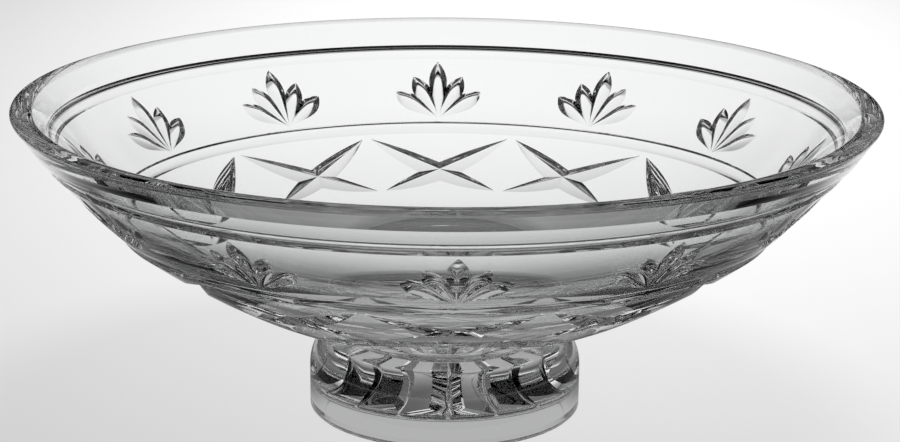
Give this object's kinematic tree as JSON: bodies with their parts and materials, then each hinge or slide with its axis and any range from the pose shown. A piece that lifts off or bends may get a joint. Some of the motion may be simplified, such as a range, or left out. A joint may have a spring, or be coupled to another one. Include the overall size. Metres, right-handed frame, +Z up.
{
  "type": "footed bowl",
  "caption": "Wide shallow clear cut-glass bowl with cut fans and crossed mitres, bonded to a heavy disc foot; holds fruit or flowers on a table.",
  "frame": {"origin": "on the table, at the centre of the foot's standing ring", "axes": "+Z up along the bowl's axis, -Y towards the viewer of the picture, +X to the viewer's right"},
  "size_m": [0.28, 0.28, 0.105],
  "materials": {
    "clear_crystal": "polished",
    "clear_bond": "clear, cured"
  },
  "bodies": {
    "root": {"bowl": "clear_crystal", "bond_film": "clear_bond", "foot": "clear_crystal"}
  },
  "joints": []
}
